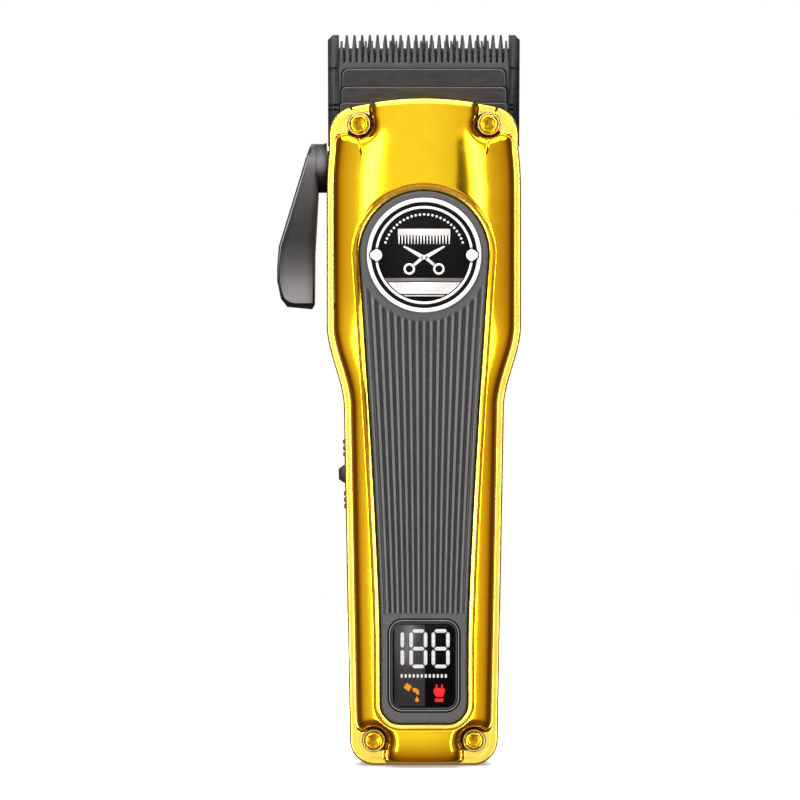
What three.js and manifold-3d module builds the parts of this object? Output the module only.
// Cordless hair clipper with a taper lever, standing upright on its base with the blade at the top.
// Millimetres. +Z runs along the clipper, its front faces -Y, and +X is to the right seen from the front.
// The origin is on the flat underside of the rear housing.

import * as THREE from 'three';
import { mergeVertices } from 'three/addons/utils/BufferGeometryUtils.js';
import Module from 'manifold-3d';

// ---------------------------------------------------------------- driving dimensions

const fit = 0.3;                 // gap between pieces that touch or seat
const wall = 1.8;                // wall of both shells

// outline seen from the front
const baseHalf = 17.55;          // half-width at the base
const waistHalf = 19.1;          // half-width at the top of the handle
const waistZ = 85;
const flareLength = 20;          // from the waist to the full head width
const bladeWidth = 46;
const headMargin = 0.2;          // the head is this much wider than the blade on each side
const noseTaper = 0.6;           // narrowing of the head just below the blade
const noseLength = 10;
const noseRun = 11.9;            // straight run between the taper and the top edge
const baseCorner = 6;
const coverTop = 158.9;
const topArc = 79;               // radius of the gently bowed top edge
const topCorner = 6.8;

// depth
const seamY = -5.5;              // plane between the two shells
const flangeDepth = 2;           // flat rim of the front cover
const flangeWidth = 1.2;
const stepInset = 2.4;           // outline to the top of the step
const crownY = -15;              // raised field of the front cover
const crownSag = 2.2;            // how far the field falls to its edges
const slopeLength = 24.9;        // the field slopes back over this length, up to the top edge
const slopeDrop = 4.6;
const toeLength = 9;             // the field also rolls back near the base
const toeDrop = 1;
const sideY = -2;                // the rear housing's sides are flat up to here
const headBack = 8;              // depth of the rear housing under the blade
const backSlopeLength = 34;
const motorSlopeRoom = 1.3;      // behind the motor's top, where the back already slopes in
const heelRadius = 5;
const housingDrop = 12.9;        // cover's top edge to the rear housing's top edge

// grip panel, badge and display
const panelBottom = 10.5;
const panelHalfBottom = 10.1;
const panelStraightTop = 30;
const panelCorner = 4.5;
const badgeZ = 121.4;
const panelTopRadius = 15.2;
const panelProud = 0.3;
const panelThick = 2.6;
const badgeRadius = 13.55;
const badgeRimWidth = 1.85;
const badgeThick = 1;
const badgePinX = 11.3;
const badgePinRadius = 1.45;
const displayZ = 24.2;
const bezelWidth = 16.6;
const bezelHeight = 21.6;
const bezelRim = 0.7;
const bezelDepth = 2.2;
const lensThick = 1;
const moduleDepth = 3.4;

// cover screws
const topScrewX = 15.45;
const topScrewDrop = 6;          // below the cover's top edge
const baseScrewX = 11.95;
const baseScrewZ = 5.95;
const scoopRadius = 4.5;
const screwHeadRadius = 2.6;
const screwHeadHeight = 1.6;
const screwRadius = 1.3;
const topScrewLength = 4.2;
const baseScrewLength = 8;
const hexAcross = 3;
const bossRadius = 4.2;
const bossDepth = 9.4;
const postHalf = 2.7;            // posts that carry the top screws
const postRear = -1;             // rear faces of the posts, in front of the fixed blade

// electrics
const boardWidth = 22;
const boardThick = 1.6;
const boardBottom = 13.4;
const chipSize = 8;
const chipThick = 1.2;
const componentRoom = 2.6;
const cellRadius = 9.2;
const cellLength = 65;
const cellBottom = 12.5;
const cradleWall = 0.9;
const tabWidth = 7;
const tabThick = 0.4;
const portWidth = 9;
const portHeight = 3.2;
const portDepth = 7.3;
const portY = 6;
const gasketWall = 0.7;
const leadRadius = 0.6;

// motor, crank and cutter drive
const motorRadius = 12.2;
const motorLength = 31;
const motorRoom = 2;             // from the cover's inner face to the motor
const motorTopDrop = 26.9;       // below the lever axis
const canWall = 0.9;
const endCapThick = 3;
const shaftRadius = 1.15;
const bearingRadius = 3.2;
const bearingHeight = 2;
const magnetThick = 1.2;
const armatureRadius = 9;
const plateThick = 2.4;
const motorScrewHead = 2.1;
const motorScrewRadius = 1.2;
const crankRadius = 5.5;
const crankThick = 5;
const crankThrow = 1.3;          // eccentricity, half of the cutter's stroke
const crankPinRadius = 1.3;
const rollerRadius = 2.5;
const rollerHeight = 5.6;

// blades, in the plane tilted forward by bladeTilt
const bladeTilt = 12 * Math.PI / 180;
const tipRise = 16.2;            // cover's top edge to the blade's tips
const tipY = -1;
const fixedThick = 3;
const fixedLength = 28.1;
const earWidth = 2.7;
const earChamfer = 1.2;
const fixedPitch = 1.845;
const fixedToothRoot = 1.15;
const fixedToothTip = 0.5;
const fixedToothLength = 3.2;
const bevelLength = 8;
const tipThick = 0.7;
const cutterThick = 3;
const cutterInset = 2.75;        // narrower than the fixed blade on each side
const cutterTipDrop = 1.3;
const cutterLength = 15.9;
const cutterPitch = 1.46;
const cutterToothRoot = 1;
const cutterToothTip = 0.45;
const cutterToothLength = 5;
const tailHalf = 5.6;
const tailLength = 6.8;
const yokeThick = 2.8;
const yokeScrewX = 3.3;
const forkWall = 2.4;            // prongs of the yoke's fork
const bladeScrewX = 9.5;
const bladeScrewDrop = 23.6;
const bladeScrewHead = 2.8;
const bladeScrewShank = 1.4;
const carrierThick = 2.7;
const carrierHalf = 12.2;
const carrierBottom = -34;
const uprightThick = 3;          // head frame's uprights beside the fork
const springThick = 0.4;
const springHalf = 2;
const springScrewRadius = 1.1;

// taper lever on the left side
const leverDrop = 16;            // lever axis below the cover's top edge
const leverY = 0.6;
const hubRadius = 6;
const hubNeck = 2.3;             // from the housing to the lever's inner face
const paddleHalf = 5.6;
const leverShaftRadius = 2.1;
const bushRadius = 3.2;
const bossRim = 4;
const bossProud = 0.6;           // lever boss, inside the wall
const camRadius = 3.5;
const camThick = 1.3;
const eccentricity = 1.96;
const eccentricStart = -22.5 * Math.PI / 180;
const eccentricRadius = 1.2;
const eccentricLength = 3;
const leverScrewRadius = 1.1;

// power switch on the left side
const switchZ = 69.4;
const switchY = -0.6;
const switchPlate = 17.5;
const switchWidth = 6;
const switchTravel = 3;
const switchNub = 5.1;
const switchProud = 1.57;
const switchFlange = 1.2;
const switchBodyDepth = 2.8;

// ---------------------------------------------------------------- derived places

const headHalf = bladeWidth / 2 + headMargin;
const leverZ = coverTop - leverDrop;
const housingTop = coverTop - housingDrop;
const slopeStart = coverTop - slopeLength;
const rearSeamY = seamY + fit;
const flangeY = seamY - flangeDepth;
const crownInnerY = crownY + wall;
const topScrewZ = coverTop - topScrewDrop;
const panelY = crownY - panelProud;
const moduleBackY = panelY + bezelDepth + fit + moduleDepth;
const boardBackY = moduleBackY + fit + boardThick;
const cellY = boardBackY + componentRoom + cradleWall + fit + cellRadius;
const motorY = crownInnerY + motorRoom + motorRadius;
const motorTop = leverZ - motorTopDrop;
const motorBottom = motorTop - motorLength;
const handleBack = Math.max(cellY + cellRadius + fit, motorY + motorRadius + motorSlopeRoom) + wall;
const plateTop = motorTop + 1 + plateThick;
const crankBottom = plateTop + 2.6;
const crankTop = crankBottom + crankThick;
const rollerBottom = crankTop + 3.8;
const tipZ = coverTop + tipRise;
const cutterFace = -fixedThick - fit;
const yokeFace = cutterFace - cutterThick - fit;
const stroke = crankThrow;
const carrierTravel = -2 * eccentricity * Math.sin(eccentricStart);
const armInner = tailHalf + stroke + fit;
const cellTop = cellBottom + cellLength;
const cradleHalf = cellRadius + fit + cradleWall;

// The fork's slot is wide enough for the crank's throw and the cutter's stroke together.
const forkSlot = rollerRadius + crankThrow + stroke + 0.2;
const forkHalf = forkSlot + forkWall;
const uprightInner = forkHalf + stroke + 0.6;
const uprightOuter = uprightInner + uprightThick;
const motorScrewX = uprightInner - motorScrewHead - fit;

// lever drive, from the housing's left side inwards
const bossInnerX = -headHalf + headMargin + wall + bossProud;
const camOuterX = bossInnerX + 2 * fit + 0.4;
const camInnerX = camOuterX + camThick;
const postOuter = Math.min(topScrewX + postHalf, -camInnerX - fit / 2);

// ---------------------------------------------------------------- solids

const wasm = await Module();
wasm.setup();

function solidOf(geometry) {
  const bare = geometry.clone();
  bare.deleteAttribute('normal');
  bare.deleteAttribute('uv');
  const merged = mergeVertices(bare, 1e-4);
  const vertProperties = new Float32Array(merged.attributes.position.array);
  const triVerts = new Uint32Array(merged.index.array);
  return new wasm.Manifold(new wasm.Mesh({ numProp: 3, vertProperties, triVerts }));
}

function geometryOf(solid) {
  const { vertProperties, triVerts } = solid.getMesh();
  const geometry = new THREE.BufferGeometry();
  geometry.setAttribute('position', new THREE.BufferAttribute(new Float32Array(vertProperties), 3));
  geometry.setIndex(new THREE.BufferAttribute(new Uint32Array(triVerts), 1));
  geometry.computeVertexNormals();
  return geometry;
}

function join(first, ...others) {
  return geometryOf(others.reduce((sum, other) => sum.add(solidOf(other)), solidOf(first)));
}

function cut(first, ...tools) {
  return geometryOf(tools.reduce((rest, tool) => rest.subtract(solidOf(tool)), solidOf(first)));
}

function common(first, second) {
  return geometryOf(solidOf(first).intersect(solidOf(second)));
}

function block(x0, x1, y0, y1, z0, z1) {
  const geometry = new THREE.BoxGeometry(x1 - x0, y1 - y0, z1 - z0);
  return geometry.translate((x0 + x1) / 2, (y0 + y1) / 2, (z0 + z1) / 2);
}

function rodZ(radius, x, y, z0, z1, sides = 24) {
  const geometry = new THREE.CylinderGeometry(radius, radius, z1 - z0, sides);
  return geometry.rotateX(Math.PI / 2).translate(x, y, (z0 + z1) / 2);
}

function rodY(radius, x, z, y0, y1, sides = 24) {
  return new THREE.CylinderGeometry(radius, radius, y1 - y0, sides).translate(x, (y0 + y1) / 2, z);
}

function rodX(radius, y, z, x0, x1, sides = 24) {
  const geometry = new THREE.CylinderGeometry(radius, radius, x1 - x0, sides);
  return geometry.rotateZ(Math.PI / 2).translate((x0 + x1) / 2, y, z);
}

// An outline in X and Z, made into a slab between two depths.
function slabY(outline, y0, y1, curveSegments = 4) {
  const settings = { depth: y1 - y0, bevelEnabled: false, curveSegments };
  return new THREE.ExtrudeGeometry(outline, settings).rotateX(Math.PI / 2).translate(0, y1, 0);
}

// An outline in Y and Z, made into a slab between two sides.
function slabX(outline, x0, x1, curveSegments = 4) {
  const settings = { depth: x1 - x0, bevelEnabled: false, curveSegments };
  const turn = new THREE.Matrix4().makeBasis(
    new THREE.Vector3(0, 1, 0), new THREE.Vector3(0, 0, 1), new THREE.Vector3(1, 0, 0));
  return new THREE.ExtrudeGeometry(outline, settings).applyMatrix4(turn).translate(x0, 0, 0);
}

// An outline in X and Y, made into a slab between two heights.
function slabZ(outline, z0, z1, curveSegments = 4) {
  const settings = { depth: z1 - z0, bevelEnabled: false, curveSegments };
  return new THREE.ExtrudeGeometry(outline, settings).translate(0, 0, z0);
}

// A closed body through rings of equal length, each counter-clockwise seen from above.
function loft(heights, ringAt) {
  const rings = heights.map(ringAt);
  const count = rings[0].length;
  const positions = rings.flatMap((ring, level) => ring.flatMap((p) => [p.x, p.y, heights[level]]));
  const faces = [];
  for (let level = 0; level + 1 < rings.length; level += 1) {
    for (let i = 0; i < count; i += 1) {
      const a = level * count + i;
      const b = level * count + (i + 1) % count;
      faces.push(a, b, b + count, a, b + count, a + count);
    }
  }
  const last = (rings.length - 1) * count;
  for (const [a, b, c] of THREE.ShapeUtils.triangulateShape(rings[0], [])) {
    faces.push(a, c, b);
  }
  for (const [a, b, c] of THREE.ShapeUtils.triangulateShape(rings.at(-1), [])) {
    faces.push(last + a, last + b, last + c);
  }
  const geometry = new THREE.BufferGeometry();
  geometry.setAttribute('position', new THREE.Float32BufferAttribute(positions, 3));
  geometry.setIndex(faces);
  geometry.computeVertexNormals();
  return geometry;
}

function smooth(t) {
  const s = Math.min(Math.max(t, 0), 1);
  return s * s * (3 - 2 * s);
}

function steps(start, end, count) {
  return Array.from({ length: count + 1 }, (_, i) => start + (end - start) * i / count);
}

function roundedRect(width, height, radius, centreX = 0, centreY = 0) {
  const x = width / 2 - radius;
  const y = height / 2 - radius;
  const shape = new THREE.Shape();
  shape.absarc(centreX + x, centreY - y, radius, -Math.PI / 2, 0);
  shape.absarc(centreX + x, centreY + y, radius, 0, Math.PI / 2);
  shape.absarc(centreX - x, centreY + y, radius, Math.PI / 2, Math.PI);
  shape.absarc(centreX - x, centreY - y, radius, Math.PI, 1.5 * Math.PI);
  shape.closePath();
  return shape;
}

// A closed outline, without the points that lie on a straight run between their neighbours.
function polygon(points) {
  const corners = points.filter(([u, v], i) => {
    const [u0, v0] = points.at(i - 1);
    const [u1, v1] = points[(i + 1) % points.length];
    return Math.abs((u - u0) * (v1 - v0) - (v - v0) * (u1 - u0)) > 1e-7;
  });
  return new THREE.Shape(corners.map(([u, v]) => new THREE.Vector2(u, v)));
}

// A left-right symmetric outline from the points of its right side, bottom to top.
function mirrored(rightSide) {
  const leftSide = rightSide.filter(([x]) => x > 1e-6).map(([x, z]) => [-x, z]).reverse();
  return polygon([...rightSide, ...leftSide]);
}

const group = new THREE.Group();

function add(parent, name, geometry, [color, roughness, metalness]) {
  const material = new THREE.MeshStandardMaterial({ color, roughness, metalness });
  const mesh = new THREE.Mesh(geometry, material);
  mesh.name = name;
  parent.add(mesh);
}

const gold = ['#f2b705', 0.14, 1];
const goldSteel = ['#d9a520', 0.25, 1];
const gripGrey = ['#6f6f6e', 0.75, 0];
const blackPlastic = ['#141414', 0.4, 0];
const darkGlass = ['#0b0b0c', 0.08, 0];
const white = ['#f0f0ee', 0.3, 0];
const silver = ['#d8d8d6', 0.25, 1];
const bladeSteel = ['#4c4c4e', 0.4, 0.9];
const leverMetal = ['#4a4a4c', 0.35, 0.9];
const steel = ['#9a9a9c', 0.35, 1];
const brass = ['#b08d3c', 0.35, 1];
const boardGreen = ['#1d5a33', 0.5, 0];
const cellBlue = ['#2a5d9c', 0.5, 0];
const framePlastic = ['#3a3a3c', 0.6, 0];
const yokePlastic = ['#e6e4dc', 0.5, 0];
const rubber = ['#1b1b1b', 0.9, 0];
const redWire = ['#b3201c', 0.5, 0];
const copper = ['#b4632c', 0.4, 1];
const castMetal = ['#8c8c8e', 0.5, 0.8];

// ---------------------------------------------------------------- outline

function halfWidth(z) {
  const handle = (waistHalf - baseHalf) * Math.min(z / waistZ, 1);
  const flare = (headHalf - waistHalf) * smooth((z - waistZ) / flareLength);
  const taperStart = coverTop - noseRun - noseLength;
  const taper = Math.min(Math.max((z - taperStart) / noseLength, 0), 1);
  return baseHalf + handle + flare - noseTaper * taper * taper;
}

// Front outline: round base corners, waisted sides, round top corners and a bowed top edge.
function bodyOutline(inset = 0) {
  const cornerHalf = halfWidth(baseCorner) - baseCorner;
  const radius = baseCorner - inset;
  const points = [];
  for (const a of steps(-Math.PI / 2, 0, 6)) {
    points.push([cornerHalf + radius * Math.cos(a), baseCorner + radius * Math.sin(a)]);
  }
  const cornerX = headHalf - noseTaper - topCorner;
  const arcZ = coverTop - topArc;
  const cornerZ = arcZ + Math.sqrt((topArc - topCorner) ** 2 - cornerX ** 2);
  for (const z of steps(baseCorner, cornerZ, 24).slice(1)) {
    points.push([halfWidth(z) - inset, z]);
  }
  const meet = Math.atan2(cornerZ - arcZ, cornerX);
  const round = topCorner - inset;
  for (const a of steps(0, meet, 6).slice(1)) {
    points.push([cornerX + round * Math.cos(a), cornerZ + round * Math.sin(a)]);
  }
  for (const a of steps(meet, Math.PI / 2, 4).slice(1, -1)) {
    points.push([(topArc - inset) * Math.cos(a), arcZ + (topArc - inset) * Math.sin(a)]);
  }
  points.push([0, coverTop - inset]);
  return mirrored(points);
}

function panelHalf(z) {
  const rise = Math.max(0, (z - panelStraightTop) / (badgeZ - panelStraightTop));
  return panelHalfBottom + (panelTopRadius - panelHalfBottom) * rise ** 1.3;
}

// Keyhole outline of the grip panel, round the badge at its top.
function panelOutline(grow) {
  const radius = panelCorner + grow;
  const half = panelHalfBottom + grow;
  const bottom = panelBottom - grow;
  const points = [];
  for (const a of steps(-Math.PI / 2, 0, 5)) {
    points.push([half - radius + radius * Math.cos(a), bottom + radius + radius * Math.sin(a)]);
  }
  for (const z of steps(panelStraightTop, badgeZ, 10).slice(0, -1)) {
    points.push([panelHalf(z) + grow, z]);
  }
  for (const a of steps(0, Math.PI / 2, 10).slice(0, -1)) {
    points.push([(panelTopRadius + grow) * Math.cos(a), badgeZ + (panelTopRadius + grow) * Math.sin(a)]);
  }
  points.push([0, badgeZ + panelTopRadius + grow]);
  return mirrored(points);
}

// Heights of the shells' cross-sections, closer together where the outline curves.
const bodyHeights = [
  0, 1, 2.5, 4.5, 7, 9, 20, 40, 60, 78, waistZ,
  ...[3, 6, 9, 12, 15, 18, flareLength].map((rise) => waistZ + rise),
  ...[40.9, slopeLength, 19.9, 15.9, 11.9, 8.9, 5.9, 2.9, 0].map((drop) => coverTop - drop),
];

// ---------------------------------------------------------------- shells

// Front-most depth of the cover's raised field on the centre line.
function crown(z) {
  const nose = Math.max(0, (z - slopeStart) / (coverTop - slopeStart));
  const toe = Math.max(0, 1 - z / toeLength);
  return crownY + slopeDrop * nose ** 2 + toeDrop * toe ** 2;
}

function coverRing(z) {
  const w = halfWidth(z);
  const field = w - stepInset;
  const ring = [[-w, seamY], [-w, flangeY], [-w + flangeWidth, flangeY]];
  for (const x of steps(-field, field, 10)) {
    ring.push([x, crown(z) + crownSag * (x / field) ** 2]);
  }
  ring.push([w - flangeWidth, flangeY], [w, flangeY], [w, seamY]);
  return ring.map(([x, y]) => new THREE.Vector2(x, y));
}

function coverCavityRing(z) {
  const field = halfWidth(z) - stepInset;
  const inner = field - wall;
  const ring = [[-inner, 0]];
  for (const x of steps(-inner, inner, 6)) {
    ring.push([x, crown(z) + wall + crownSag * (x / field) ** 2]);
  }
  ring.push([inner, 0]);
  return ring.map(([x, y]) => new THREE.Vector2(x, y));
}

const coverScrews = [
  ['top_left', -topScrewX, topScrewZ, topScrewLength],
  ['top_right', topScrewX, topScrewZ, topScrewLength],
  ['bottom_left', -baseScrewX, baseScrewZ, baseScrewLength],
  ['bottom_right', baseScrewX, baseScrewZ, baseScrewLength],
];

// Scoop round one cover screw, open towards the nearer corner of the cover.
function scoop(x, z) {
  const away = 8 * Math.sign(x);
  const up = z > waistZ ? 8 : -8;
  const round = rodY(scoopRadius, x, z, crownY - 5, flangeY, 24);
  const sideways = block(Math.min(x, x + away), Math.max(x, x + away), crownY - 5, flangeY,
    z - scoopRadius, z + scoopRadius);
  const endways = block(x - scoopRadius, x + scoopRadius, crownY - 5, flangeY,
    Math.min(z, z + up), Math.max(z, z + up));
  return join(round, sideways, endways);
}

function frontCover() {
  const outer = common(loft(bodyHeights, coverRing), slabY(bodyOutline(), crownY - 5, seamY));
  const top = topScrewZ - scoopRadius - wall;
  const bottom = baseScrewZ + scoopRadius + wall;
  const topHalf = topScrewX - scoopRadius - wall;
  const baseClear = baseScrewX - scoopRadius - wall;
  const room = join(
    block(-headHalf, headHalf, crownY, 0, bottom, top),
    block(-topHalf, topHalf, crownY, 0, top - 1, coverTop - wall - 0.8),
    block(-baseClear, baseClear, crownY, 0, wall, bottom + 1));
  const cavity = common(loft(bodyHeights, coverCavityRing), room);
  const opening = slabY(panelOutline(fit), crownY - 5, crownInnerY + crownSag);
  const holes = coverScrews.map(([, x, z]) => rodY(screwRadius + fit, x, z, flangeY - 1, seamY + 1, 12));
  const scoops = coverScrews.map(([, x, z]) => scoop(x, z));
  return cut(outer, cavity, opening, ...scoops, ...holes);
}

// Depth of the rear housing: full along the handle, sloping in under the blade.
function backY(z) {
  const slope = smooth((z - housingTop + backSlopeLength) / backSlopeLength);
  const heel = Math.max(0, heelRadius - z);
  const round = heelRadius - Math.sqrt(heelRadius ** 2 - heel ** 2);
  return handleBack - (handleBack - headBack) * slope - round;
}

function rearRing(z, inset, front) {
  const w = halfWidth(z) - inset;
  const depth = backY(z) - inset - sideY;
  const squareness = 2.8 + 1.9 * smooth((z - waistZ) / (housingTop - waistZ));
  const ring = [[w, front]];
  for (const a of steps(0, Math.PI, 14)) {
    const x = Math.sign(Math.cos(a)) * Math.abs(Math.cos(a)) ** (2 / squareness);
    ring.push([w * x, sideY + depth * Math.sin(a) ** (2 / squareness)]);
  }
  ring.push([-w, front]);
  return ring.map(([x, y]) => new THREE.Vector2(x, y));
}

// Block between two distances from the centre plane, on the left (-1) or the right (1).
function sideBlock(side, inner, outer, y0, y1, z0, z1) {
  const [x0, x1] = side > 0 ? [inner, outer] : [-outer, -inner];
  return block(x0, x1, y0, y1, z0, z1);
}

const postFoot = leverZ - bushRadius - 11;
const webTop = leverZ - bushRadius - 1.5;

// Post that carries one top screw, reaching up in front of the fixed blade.
function screwPost(side) {
  const upright = sideBlock(side, topScrewX - postHalf, postOuter,
    rearSeamY, postRear, postFoot, topScrewZ + postHalf);
  const web = sideBlock(side, topScrewX - postHalf, headHalf - wall / 2,
    rearSeamY, postRear, postFoot, webTop);
  return join(upright, web);
}

const portHole = roundedRect(
  portWidth + 2 * (gasketWall + 2 * fit), portHeight + 2 * (gasketWall + 2 * fit),
  portHeight / 2 + gasketWall, 0, portY);
const windowHeight = switchPlate + switchTravel + 2 * fit;
const windowZ = switchZ + switchTravel / 2;
const switchWindow = roundedRect(switchWidth + 2 * fit, windowHeight, 2, switchY, windowZ);

function rearHousing() {
  const heights = [...bodyHeights.filter((z) => z < housingTop - 0.5), housingTop];
  const outside = common(loft(heights, (z) => rearRing(z, 0, rearSeamY)),
    slabY(bodyOutline(), rearSeamY, handleBack + 1));
  const inside = common(
    loft([...heights.slice(1), housingTop + 1],
      (z) => rearRing(Math.min(z, housingTop), wall, rearSeamY - 1)),
    slabY(bodyOutline(wall), rearSeamY - 1, handleBack));
  const bosses = coverScrews.slice(2).map(([, x, z]) => (
    rodY(bossRadius, x, z, rearSeamY, rearSeamY + bossDepth, 20)));
  const posts = [screwPost(-1), screwPost(1)];
  const leverBoss = cut(
    rodX(bossRim, leverY, leverZ, -headHalf + headMargin, bossInnerX),
    block(-headHalf - 1, 0, leverY - 2 * bossRim, rearSeamY, leverZ - 2 * bossRim, leverZ + 2 * bossRim));
  const shell = join(cut(outside, inside), ...bosses, ...posts, leverBoss);
  const pilots = coverScrews.map(([, x, z, length]) => (
    rodY(screwRadius + fit, x, z, rearSeamY - 1, seamY + length - flangeDepth + 0.8, 12)));
  return cut(shell, ...pilots,
    rodX(bushRadius + fit, leverY, leverZ, -headHalf - 1, -headHalf + 2 * wall),
    slabZ(portHole, -1, wall + 1),
    slabX(switchWindow, -headHalf, -halfWidth(switchZ) + 2 * wall));
}

add(group, 'front_cover', frontCover(), gold);
add(group, 'rear_housing', rearHousing(), goldSteel);

// Hex-socket screw along Y with its head towards the front.
function coverScrew(x, z, length) {
  const head = rodY(screwHeadRadius, x, z, flangeY - fit - screwHeadHeight, flangeY - fit, 20);
  const shank = rodY(screwRadius, x, z, flangeY - fit - 0.2, flangeY + length, 12);
  const socket = rodY(hexAcross / Math.sqrt(3), x, z, flangeY - 4, flangeY - fit - 0.5, 6);
  return cut(join(head, shank), socket);
}

for (const [place, x, z, length] of coverScrews) {
  add(group, `cover_screw_${place}`, coverScrew(x, z, length), gold);
}

// ---------------------------------------------------------------- grip panel, badge, display

const displayOpening = roundedRect(bezelWidth + 2 * fit, bezelHeight + 2 * fit, 2.2, 0, displayZ);
const panelBackY = panelY + panelThick;
add(group, 'grip_panel', cut(
  slabY(panelOutline(0), panelY, panelBackY),
  slabY(displayOpening, panelY - 1, panelBackY + 1)), gripGrey);

const badgeY = panelY - fit;
const discRadius = badgeRadius - badgeRimWidth;

const pinRecesses = [-badgePinX, badgePinX].map((x) => (
  rodY(badgePinRadius + fit, x, badgeZ, badgeY - 3, badgeY + 1, 16)));

function badgeRing() {
  return cut(rodY(badgeRadius, 0, badgeZ, badgeY - badgeThick, badgeY, 36),
    rodY(discRadius + fit, 0, badgeZ, badgeY - 3, badgeY + 1, 36), ...pinRecesses);
}

function badgePlate() {
  return cut(rodY(discRadius, 0, badgeZ, badgeY - 0.7 * badgeThick, badgeY, 36), ...pinRecesses);
}

add(group, 'badge_ring', badgeRing(), silver);
add(group, 'badge_plate', badgePlate(), blackPlastic);
for (const [side, x] of [['left', -badgePinX], ['right', badgePinX]]) {
  add(group, `badge_pin_${side}`,
    rodY(badgePinRadius, x, badgeZ, badgeY - badgeThick, badgeY, 16), white);
}

const lensWidth = bezelWidth - 2 * bezelRim - 2 * fit;
const lensHeight = bezelHeight - 2 * bezelRim - 2 * fit;
const bezelFace = panelY - 0.2;
add(group, 'display_bezel', cut(
  slabY(roundedRect(bezelWidth, bezelHeight, 1.9, 0, displayZ), bezelFace, panelY + bezelDepth),
  slabY(roundedRect(lensWidth + 2 * fit, lensHeight + 2 * fit, 1.3, 0, displayZ), bezelFace - 1, 0)),
  blackPlastic);
add(group, 'display_lens',
  slabY(roundedRect(lensWidth, lensHeight, 1, 0, displayZ), panelY, panelY + lensThick), darkGlass);
add(group, 'display_module', block(-lensWidth / 2 + fit, lensWidth / 2 - fit,
  panelY + lensThick + fit, moduleBackY, displayZ - lensHeight / 2 + fit, displayZ + lensHeight / 2 - fit),
  blackPlastic);

// ---------------------------------------------------------------- electrics

const boardTop = cellTop;
const boardFrontY = boardBackY - boardThick;
add(group, 'circuit_board',
  block(-boardWidth / 2, boardWidth / 2, boardFrontY, boardBackY, boardBottom, boardTop), boardGreen);
const chipZ = (displayZ + boardTop) / 2;
add(group, 'control_chip', block(-chipSize / 2, chipSize / 2,
  boardFrontY - fit - chipThick, boardFrontY - fit, chipZ - chipSize / 2, chipZ + chipSize / 2), blackPlastic);

add(group, 'battery_cell', rodZ(cellRadius, 0, cellY, cellBottom, cellTop, 32), cellBlue);

function batteryCradle() {
  const front = cellY - cradleHalf;
  const tray = block(-cradleHalf, cradleHalf, front, cellY - 0.3 * cellRadius,
    cellBottom + fit, cellTop - fit);
  return cut(tray, rodZ(cellRadius + fit, 0, cellY, cellBottom - 1, cellTop + 1, 32));
}

add(group, 'battery_cradle', batteryCradle(), framePlastic);

// Nickel strips from the ends of the cell to the circuit board.
for (const [end, z] of [['positive', cellTop + fit], ['negative', cellBottom - fit - tabThick]]) {
  const strip = block(-tabWidth / 2, tabWidth / 2, boardBackY + fit, cellY + cellRadius / 2, z, z + tabThick);
  add(group, `battery_tab_${end}`, strip, steel);
}

const portRadius = portHeight / 2 - 0.01;
const portTop = wall + portDepth;
add(group, 'charge_socket', cut(
  slabZ(roundedRect(portWidth, portHeight, portRadius, 0, portY), 0.6, portTop),
  slabZ(roundedRect(portWidth - 0.8, portHeight - 0.8, portRadius - 0.4, 0, portY), 0, portTop - 1)), steel);
const gasketHalf = gasketWall + fit;
add(group, 'port_gasket', cut(
  slabZ(roundedRect(portWidth + 2 * gasketHalf, portHeight + 2 * gasketHalf,
    portRadius + gasketHalf, 0, portY), 0.4, wall + 0.6),
  slabZ(roundedRect(portWidth + 2 * fit, portHeight + 2 * fit, portRadius + fit, 0, portY), 0, wall + 1)),
  rubber);
const chargeBoardHalf = portWidth / 2 + 1.5;
const chargeBoardY = portY + portHeight / 2 + fit;
add(group, 'charge_board', block(-chargeBoardHalf, chargeBoardHalf, chargeBoardY, chargeBoardY + 1.2,
  wall + 1.2, cellBottom - 2 * fit - tabThick - 0.4), boardGreen);

// ---------------------------------------------------------------- motor and crank

const canBottom = motorBottom + endCapThick + fit;
const canInner = motorRadius - canWall;
const magnetOuter = canInner - fit;
const armatureBottom = canBottom + 3;
const armatureTop = motorTop - canWall - 4;

function motorCan() {
  return cut(rodZ(motorRadius, 0, motorY, canBottom, motorTop, 40),
    rodZ(canInner, 0, motorY, canBottom - 1, motorTop - canWall, 40),
    rodZ(shaftRadius + fit, 0, motorY, motorTop - 3, motorTop + 1, 16));
}

// Arc magnet inside the can, on the left (-1) or the right (1).
function magnet(side) {
  const middle = side > 0 ? 0 : Math.PI;
  const reach = 1.1;
  const shape = new THREE.Shape();
  shape.absarc(0, 0, magnetOuter, middle - reach, middle + reach, false);
  shape.absarc(0, 0, magnetOuter - magnetThick, middle + reach, middle - reach, true);
  shape.closePath();
  return slabZ(shape, armatureBottom, armatureTop, 10).translate(0, motorY, 0);
}

add(group, 'motor_can', motorCan(), steel);
add(group, 'motor_magnet_left', magnet(-1), framePlastic);
add(group, 'motor_magnet_right', magnet(1), framePlastic);
add(group, 'motor_end_cap', cut(
  rodZ(motorRadius - 0.2, 0, motorY, motorBottom, motorBottom + endCapThick, 32),
  rodZ(shaftRadius + fit, 0, motorY, motorBottom + 1, motorTop, 16)), blackPlastic);
add(group, 'motor_bearing', cut(
  rodZ(bearingRadius, 0, motorY, motorTop + fit, motorTop + fit + bearingHeight, 24),
  rodZ(shaftRadius + fit, 0, motorY, motorTop - 1, motorTop + 5, 16)), brass);

for (const [side, x] of [['left', -motorScrewX], ['right', motorScrewX]]) {
  add(group, `motor_screw_${side}`, join(
    rodZ(motorScrewHead, x, motorY, plateTop + fit, plateTop + fit + 1.4, 16),
    rodZ(motorScrewRadius, x, motorY, motorTop + fit, plateTop + fit + 0.2, 12)), steel);
}

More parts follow.
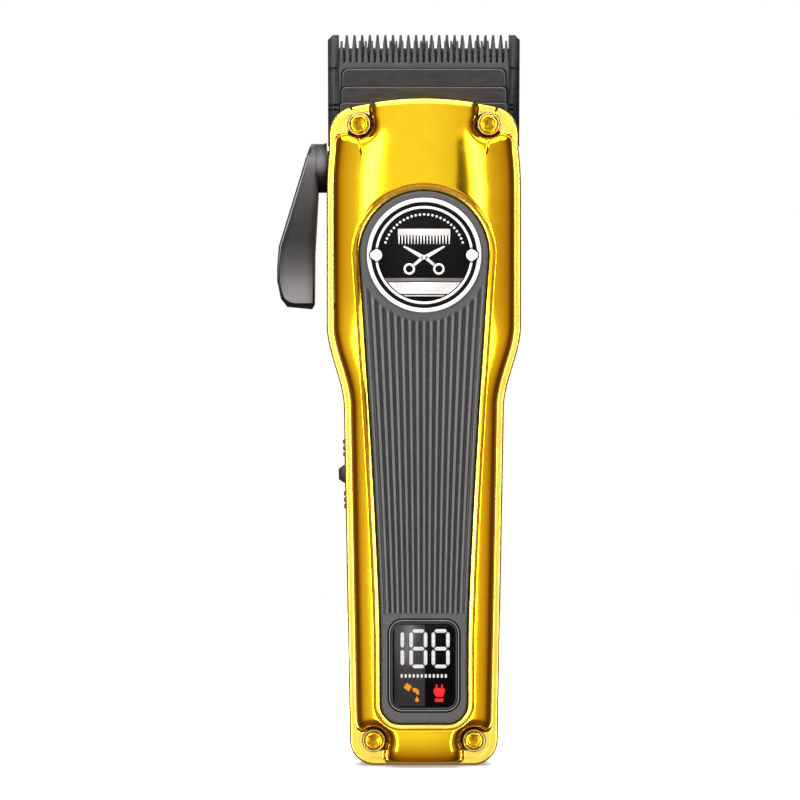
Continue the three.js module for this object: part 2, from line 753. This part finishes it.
// Wire from the circuit board's top end to the motor's end cap.
function motorLead(side) {
  const edge = boardBackY + fit + leadRadius;
  const along = tabWidth / 2 + 2;
  const route = new THREE.CatmullRomCurve3([
    [along, edge, cellTop - 8], [along, edge, cellTop - 2], [along, edge + 1.5, cellTop + 1.6],
    [along, motorY - 5, cellTop + 2.2], [along, motorY - 3, motorBottom - fit],
  ].map(([x, y, z]) => new THREE.Vector3(side * x, y, z)));
  const section = new THREE.Shape();
  section.absarc(0, 0, leadRadius, 0, 2 * Math.PI);
  return new THREE.ExtrudeGeometry(section, { extrudePath: route, steps: 10, curveSegments: 4 });
}

add(group, 'motor_lead_red', motorLead(-1), redWire);
add(group, 'motor_lead_black', motorLead(1), blackPlastic);

add(group, 'motor_shaft',
  rodZ(shaftRadius, 0, motorY, motorBottom + 1 + fit, crankBottom + 3, 16), steel);
add(group, 'motor_armature', cut(
  rodZ(armatureRadius, 0, motorY, armatureBottom, armatureTop, 32),
  rodZ(shaftRadius + fit, 0, motorY, armatureBottom - 1, armatureTop + 1, 16)), copper);

// The crank pin stands behind the shaft's axis at rest, which centres the cutter.
const pinY = motorY + crankThrow;
add(group, 'drive_crank', cut(
  join(rodZ(crankRadius, 0, motorY, crankBottom, crankTop, 32),
    rodZ(crankPinRadius, 0, pinY, crankTop - 0.5, rollerBottom + rollerHeight + 0.8, 16)),
  rodZ(shaftRadius + fit, 0, motorY, crankBottom - 1, crankBottom + 3 + fit, 16)), steel);
add(group, 'crank_roller', cut(
  rodZ(rollerRadius, 0, pinY, rollerBottom, rollerBottom + rollerHeight, 24),
  rodZ(crankPinRadius + fit, 0, pinY, rollerBottom - 1, rollerBottom + rollerHeight + 1, 16)), brass);

// ---------------------------------------------------------------- tilted blade set

// Inside this group +Z runs up the blades, y = 0 is the skin side and -Y faces the front.
const blades = new THREE.Group();
blades.position.set(0, tipY, tipZ);
blades.rotation.x = bladeTilt;
group.add(blades);

// A point of the clipper's frame seen in the blades' frame, as depth and height.
function inBlades(y, z) {
  return {
    depth: (y - tipY) * Math.cos(bladeTilt) + (z - tipZ) * Math.sin(bladeTilt),
    height: -(y - tipY) * Math.sin(bladeTilt) + (z - tipZ) * Math.cos(bladeTilt),
  };
}

// Comb outline: teeth across a span, over a plate down to the bottom height.
function comb(half, toothHalf, tip, pitch, root, top, length, bottom) {
  const count = Math.floor(2 * toothHalf / pitch + 1e-6) + 1;
  const first = -pitch * (count - 1) / 2;
  const points = [[-half, bottom], [half, bottom], [half, tip - length]];
  for (let i = count - 1; i >= 0; i -= 1) {
    const x = first + i * pitch;
    points.push([x + root / 2, tip - length], [x + top / 2, tip]);
    points.push([x - top / 2, tip], [x - root / 2, tip - length]);
  }
  points.push([-half, tip - length]);
  return polygon(points);
}

// Wedge that thins a toothed edge, from full thickness at one height to the tip.
function bevel(half, fullY, fullZ, tipDepth, tipHeight, outY) {
  const slope = (tipDepth - fullY) / (tipHeight - fullZ);
  const over = 2;
  return slabX(polygon([
    [fullY, fullZ], [outY, fullZ - 0.01],
    [outY, tipHeight + over], [tipDepth + slope * over, tipHeight + over],
  ]), -half, half);
}

const bladeHalf = bladeWidth / 2;
const bladeScrewZ = -bladeScrewDrop;

function fixedBlade() {
  const inner = bladeHalf - earWidth;
  const teeth = comb(inner + 0.5, inner - fixedPitch, 0, fixedPitch, fixedToothRoot, fixedToothTip,
    fixedToothLength, -fixedLength);
  const ears = [-1, 1].map((side) => polygon([
    [side * inner, -fixedLength], [side * bladeHalf, -fixedLength + earChamfer],
    [side * bladeHalf, -earChamfer], [side * (bladeHalf - earChamfer), 0], [side * inner, 0],
  ]));
  const plate = join(slabY(teeth, -fixedThick, 0), ...ears.map((ear) => slabY(ear, -fixedThick, 0)));
  const holes = [-bladeScrewX, bladeScrewX].flatMap((x) => [
    rodY(bladeScrewShank + fit, x, bladeScrewZ, -fixedThick - 1, 1, 12),
    rodY(bladeScrewHead + fit, x, bladeScrewZ, -1.5, 1, 20)]);
  return cut(plate, bevel(bladeHalf + 1, 0, -bevelLength, -fixedThick + tipThick, 0, 2), ...holes);
}

const cutterHalf = bladeHalf - cutterInset;
const cutterTip = -cutterTipDrop;
const cutterBottom = cutterTip - cutterLength;
const tailBottom = cutterBottom - tailLength;
const yokeScrewZ = cutterBottom - 0.55 * tailLength;

function cutterBlade() {
  const teeth = comb(cutterHalf, cutterHalf - cutterToothRoot / 2, cutterTip, cutterPitch, cutterToothRoot,
    cutterToothTip, cutterToothLength, cutterBottom);
  const front = cutterFace - cutterThick;
  const plate = join(slabY(teeth, front, cutterFace),
    block(-tailHalf, tailHalf, front, cutterFace, tailBottom, cutterBottom + 1));
  const holes = [-yokeScrewX, yokeScrewX].map((x) => (
    rodY(1 + fit, x, yokeScrewZ, front - 1, cutterFace + 1, 12)));
  return cut(plate, ...holes,
    bevel(cutterHalf + 1, front, cutterTip - bevelLength, cutterFace - tipThick, cutterTip, front - 2));
}

// The yoke's fork straddles the crank roller.
const roller = inBlades(motorY, rollerBottom + rollerHeight / 2);
const forkReach = crankThrow + rollerRadius + 0.5;
const forkTop = roller.height + rollerHeight / 2 + 1.2;
const forkBottom = roller.height - rollerHeight / 2 - 0.8;
const yokeTop = cutterBottom - 1.6;

function cutterYoke() {
  const front = yokeFace - yokeThick;
  const pad = block(-tailHalf + 0.5, tailHalf - 0.5, front, yokeFace, tailBottom, yokeTop);
  const arm = block(-3.5, 3.5, front, yokeFace, forkTop - 1, tailBottom + 1);
  const bridge = block(-forkHalf, forkHalf, roller.depth - forkReach, roller.depth + forkReach,
    forkBottom, forkTop + 1.6);
  const slot = block(-forkSlot, forkSlot, roller.depth - forkReach - 1, roller.depth + forkReach + 1,
    forkBottom - 1, forkTop);
  const holes = [-yokeScrewX, yokeScrewX].map((x) => (
    rodY(1 + fit, x, yokeScrewZ, front - 1, yokeFace + 1, 12)));
  return cut(join(pad, arm, bridge), slot, ...holes);
}

add(blades, 'fixed_blade', fixedBlade(), bladeSteel);
add(blades, 'cutter_blade', cutterBlade(), bladeSteel);
add(blades, 'cutter_yoke', cutterYoke(), yokePlastic);
for (const [side, x] of [['left', -yokeScrewX], ['right', yokeScrewX]]) {
  const front = yokeFace - yokeThick;
  add(blades, `yoke_screw_${side}`, join(
    rodY(1.7, x, yokeScrewZ, front - fit - 0.8, front - fit, 16),
    rodY(1, x, yokeScrewZ, front - fit - 0.2, cutterFace - fit, 12)), steel);
}
for (const [side, x] of [['left', -bladeScrewX], ['right', bladeScrewX]]) {
  add(blades, `blade_screw_${side}`, join(
    rodY(bladeScrewHead, x, bladeScrewZ, -1.5 + fit, -0.1, 20),
    rodY(bladeScrewShank, x, bladeScrewZ, -fixedThick - 2, -1, 12)), steel);
}

// ---------------------------------------------------------------- blade carrier and head frame

const leverAxis = inBlades(leverY, leverZ);
const eccentric = {
  depth: leverAxis.depth + eccentricity * Math.cos(eccentricStart),
  height: leverAxis.height + eccentricity * Math.sin(eccentricStart),
};
const carrierFace = -fixedThick - fit;
const carrierFront = carrierFace - carrierThick;
const lugOuterX = camInnerX + fit;
const lugInnerX = lugOuterX + eccentricLength - 2 * fit;

function bladeCarrier() {
  const plate = block(-carrierHalf, carrierHalf, carrierFront, carrierFace,
    carrierBottom, tailBottom - carrierTravel - fit);
  const arms = [-1, 1].map((side) => sideBlock(side, armInner, carrierHalf,
    carrierFront, carrierFace, carrierBottom, bladeScrewZ + 3.2));
  const bar = block(lugOuterX + 0.5, -carrierHalf + 1, carrierFront, carrierFace,
    carrierBottom, carrierBottom + 4);
  const lugHalf = eccentricRadius + 1;
  const lug = block(lugOuterX, lugInnerX, eccentric.depth - lugHalf, eccentric.depth + lugHalf + 0.2,
    eccentric.height - lugHalf, eccentric.height + lugHalf);
  const slotHalf = eccentricRadius + 0.1;
  const slot = block(lugOuterX - 1, lugInnerX + 1,
    eccentric.depth - slotHalf, eccentric.depth + slotHalf + 0.2,
    eccentric.height - slotHalf, eccentric.height + slotHalf);
  const holes = [-bladeScrewX, bladeScrewX].map((x) => (
    rodY(bladeScrewShank + fit, x, bladeScrewZ, carrierFront - 1, carrierFace + 1, 12)));
  return cut(join(plate, ...arms, bar, lug), slot, ...holes);
}

add(blades, 'blade_carrier', bladeCarrier(), steel);

// Cast frame: motor plate, two uprights and the bed that the blade carrier slides on.
const bedTop = -fixedLength - 0.8;
const bedBottom = carrierBottom - 0.5;
const bedBack = -0.6;

function bedPoint(depth, height) {
  const y = tipY + depth * Math.cos(bladeTilt) - height * Math.sin(bladeTilt);
  const z = tipZ + depth * Math.sin(bladeTilt) + height * Math.cos(bladeTilt);
  return [y, z];
}

function headFrame() {
  const bed = slabX(polygon([
    bedPoint(carrierFace + fit, bedBottom), bedPoint(bedBack, bedBottom),
    bedPoint(bedBack, bedTop), bedPoint(carrierFace + fit, bedTop),
  ]), -uprightOuter, uprightOuter);
  const [uprightBack] = bedPoint(bedBack, bedBottom);
  const uprights = [-1, 1].map((side) => sideBlock(side, uprightInner, uprightOuter,
    uprightBack - 2.4, uprightBack, motorTop + 1, bedPoint(bedBack, bedBottom)[1] + 1));
  const plate = block(-uprightOuter, uprightOuter, springFootY + 2 * fit, uprightBack,
    motorTop + 1, plateTop);
  const tab = block(-4, 4, springFootY + 2 * fit, springFootY + 2 * fit + 1.6, motorTop + 1, springFootTop);
  const holes = [-motorScrewX, motorScrewX].map((x) => (
    rodZ(motorScrewRadius + fit, x, motorY, motorTop, plateTop + 1, 12)));
  return cut(join(plate, bed, ...uprights, tab), ...holes,
    rodZ(bearingRadius + fit, 0, motorY, motorTop, plateTop + 1, 24),
    rodY(springScrewRadius + fit, 0, springScrewZ, springFootY - 3, springFootY + 4, 12));
}

// Leaf spring from the head frame to the yoke, which holds the cutter against the fixed blade.
const springFootY = motorY - crankRadius - 4.4;
const springScrewZ = plateTop + 3;
const springFootTop = springScrewZ + 2.6;
const [springTipY, springTipZ] = bedPoint(yokeFace - yokeThick - 2 * fit - 0.8 - 1, yokeScrewZ + 1.5);

function tensionSpring() {
  const front = [[springFootY, motorTop + 3], [springFootY, springFootTop + 8],
    [springTipY - 0.6, springTipZ - 9], [springTipY + 0.4, springTipZ - 2], [springTipY, springTipZ]];
  const back = front.map(([y, z]) => [y + springThick, z]).reverse();
  return cut(slabX(polygon([...front, ...back]), -springHalf, springHalf),
    rodY(springScrewRadius + fit, 0, springScrewZ, springFootY - 3, springFootY + 4, 12));
}

add(group, 'head_frame', headFrame(), castMetal);
add(group, 'tension_spring', tensionSpring(), steel);
add(group, 'spring_screw', join(
  rodY(1.9, 0, springScrewZ, springFootY - fit - 1, springFootY - fit, 16),
  rodY(springScrewRadius, 0, springScrewZ, springFootY - fit - 0.2, springFootY + 2.2, 12)), steel);

// ---------------------------------------------------------------- taper lever

const boreRadius = leverShaftRadius + fit;
const hubFaceX = -headHalf + headMargin - fit;
const paddleInnerX = hubFaceX - hubNeck;
const boreEndX = paddleInnerX - 0.6;
const shoulderX = boreEndX - 0.7;

function leverArm() {
  const thickness = polygon([
    [-0.3, 6], [-0.1, 0], [0.3, -6.3], [-0.5, -20.9], [-0.6, -32.9], [-1.2, -34], [-7.2, -33.4],
    [-8.6, -31.6], [-9.5, -27.4], [-9.5, -24], [-9.1, -19], [-1.9, 4.4], [-1.2, 6],
  ].map(([x, z]) => [paddleInnerX + x, leverZ + z]));
  const face = new THREE.Shape();
  const foot = leverZ - 34.1 + paddleHalf;
  face.absarc(leverY, leverZ, hubRadius, 0, Math.PI);
  face.absarc(leverY, foot, paddleHalf, Math.PI, 2 * Math.PI);
  face.closePath();
  const paddle = common(
    slabY(thickness, leverY - 2 * hubRadius, leverY + 2 * hubRadius),
    slabX(face, paddleInnerX - 12, paddleInnerX + 2, 12));
  const neck = rodX(hubRadius, leverY, leverZ, paddleInnerX - 0.6, hubFaceX, 32);
  return cut(join(paddle, neck),
    rodX(boreRadius, leverY, leverZ, boreEndX, hubFaceX + 1, 24),
    rodX(leverScrewRadius + fit, leverY, leverZ, paddleInnerX - 12, hubFaceX, 12),
    rodX(leverScrewRadius + 1.8, leverY, leverZ, paddleInnerX - 12, shoulderX, 20));
}

function leverShaft() {
  const shaft = rodX(leverShaftRadius, leverY, leverZ, boreEndX + fit, camInnerX - 0.2, 24);
  const cam = rodX(camRadius, leverY, leverZ, camOuterX, camInnerX, 32);
  const pin = rodX(eccentricRadius, ...bedPoint(eccentric.depth, eccentric.height),
    camInnerX - 0.5, camInnerX + eccentricLength, 20);
  return cut(join(shaft, cam, pin),
    rodX(leverScrewRadius + fit, leverY, leverZ, boreEndX, boreEndX + 5.2, 12));
}

add(group, 'lever_arm', leverArm(), leverMetal);
add(group, 'lever_shaft', leverShaft(), steel);
add(group, 'lever_screw', join(
  rodX(leverScrewRadius + 1.4, leverY, leverZ, shoulderX - fit - 1.3, shoulderX - fit, 20),
  rodX(leverScrewRadius, leverY, leverZ, shoulderX - fit - 0.2, boreEndX + 4.8, 12)), steel);
add(group, 'lever_bush', cut(
  rodX(bushRadius, leverY, leverZ, -headHalf + headMargin + 0.1, bossInnerX, 32),
  rodX(boreRadius, leverY, leverZ, -headHalf - 1, 0, 24)), brass);
add(group, 'lever_washer', cut(
  rodX(bushRadius, leverY, leverZ, bossInnerX + fit, bossInnerX + fit + 0.4, 32),
  rodX(boreRadius + 0.1, leverY, leverZ, -headHalf, 0, 24)), steel);

// ---------------------------------------------------------------- power switch

const switchX = -halfWidth(switchZ);
const switchLean = Math.atan((waistHalf - baseHalf) / waistZ);
const flangeOuterX = wall + fit;
const flangeInnerX = flangeOuterX + switchFlange;

// Built upright at the origin, -X outward, then set to the lean of the housing's side.
function switchKnob() {
  const plateHalf = switchPlate / 2;
  const plate = slabX(roundedRect(switchWidth, switchPlate, 1.7), -0.1, flangeOuterX + 0.5);
  const flange = block(flangeOuterX, flangeInnerX, -switchWidth / 2 - 0.8, switchWidth / 2 + 0.8,
    -plateHalf - 1.5 - switchTravel, plateHalf + 1.5);
  const nub = slabY(polygon([
    [0.3, -switchNub / 2], [0.3, switchNub / 2],
    [-switchProud, switchNub / 4], [-switchProud, -switchNub / 4],
  ]), -switchWidth / 2 + 0.4, switchWidth / 2 - 0.4);
  const ridges = [-7.7, -6.2, -4.7, 4.7, 6.2, 7.7].map((z) => (
    block(-0.4, 0.2, -switchWidth / 2 + 0.6, switchWidth / 2 - 0.6, z - 0.5, z + 0.5)));
  const pocket = block(flangeInnerX - 0.8, flangeInnerX + 1, -1.3, 1.3, -1.3, 1.3);
  return cut(join(plate, flange, nub, ...ridges), pocket);
}

const switchGroup = new THREE.Group();
switchGroup.position.set(switchX, switchY, switchZ);
switchGroup.rotation.y = -switchLean;
group.add(switchGroup);
add(switchGroup, 'switch_knob', switchKnob(), gripGrey);
add(switchGroup, 'switch_actuator',
  block(flangeInnerX - 0.5, flangeInnerX + fit + 0.2, -1, 1, -1, 1), blackPlastic);
const switchBodyOuter = flangeInnerX + 2 * fit + 0.2;
const switchBodyInner = Math.min(switchBodyOuter + switchBodyDepth, -switchX - cradleHalf - 2 * fit);
add(switchGroup, 'switch_body', block(switchBodyOuter, switchBodyInner, -3, 3, -5, 7), blackPlastic);

export default group;
